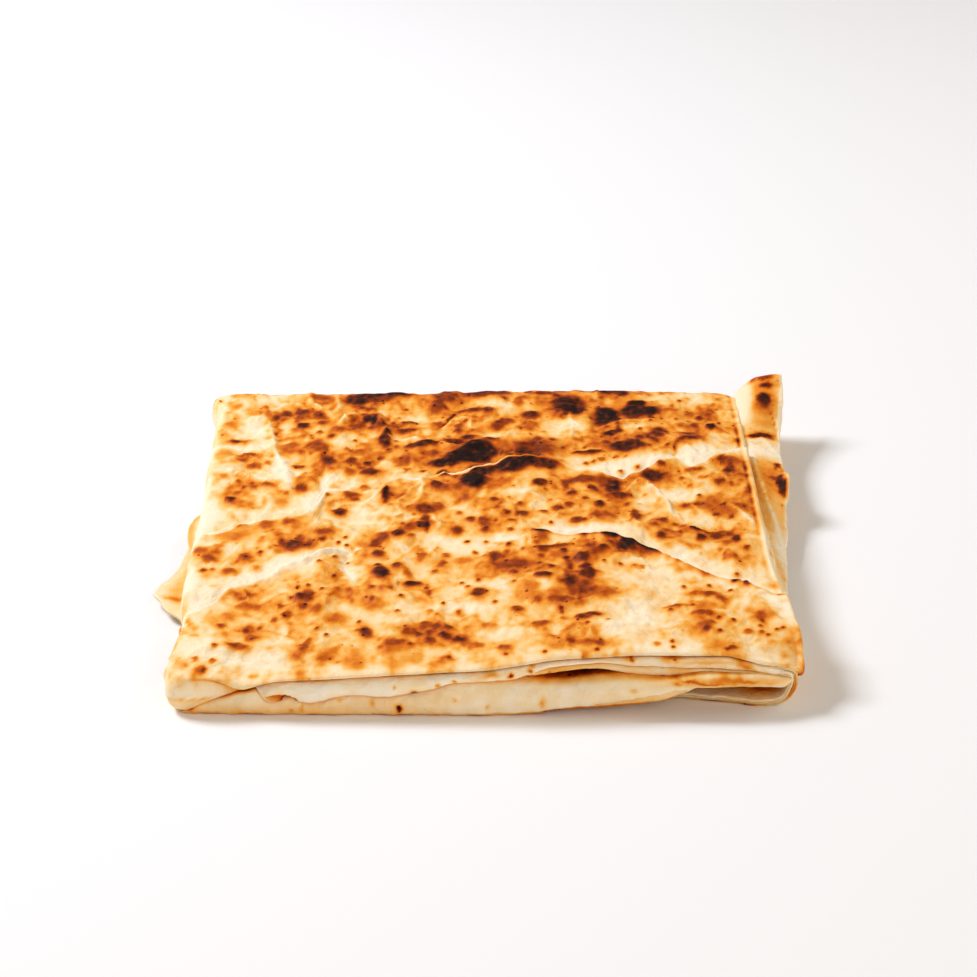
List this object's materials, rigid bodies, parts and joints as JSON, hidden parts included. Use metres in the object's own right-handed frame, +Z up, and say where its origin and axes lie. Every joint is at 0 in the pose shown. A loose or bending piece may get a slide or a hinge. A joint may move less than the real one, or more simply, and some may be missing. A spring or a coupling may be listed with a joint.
{
  "type": "gozleme",
  "caption": "Folded gozleme: a thin sheet of griddled flat bread folded into a flat, nearly square packet with layered edges and brown scorch marks.",
  "frame": {"origin": "centre of the packet's box, on the plane it rests on", "axes": "+X to the packet's right, where the loose strip sticks out; +Y to its back, away from the layered front edge; +Z up"},
  "size_m": [0.2082, 0.2184, 0.0188],
  "materials": {
    "cooked_dough": "dry thin dough, matt, cream with gold and brown griddle marks"
  },
  "bodies": {
    "root": {"gozleme": "cooked_dough"}
  },
  "joints": []
}
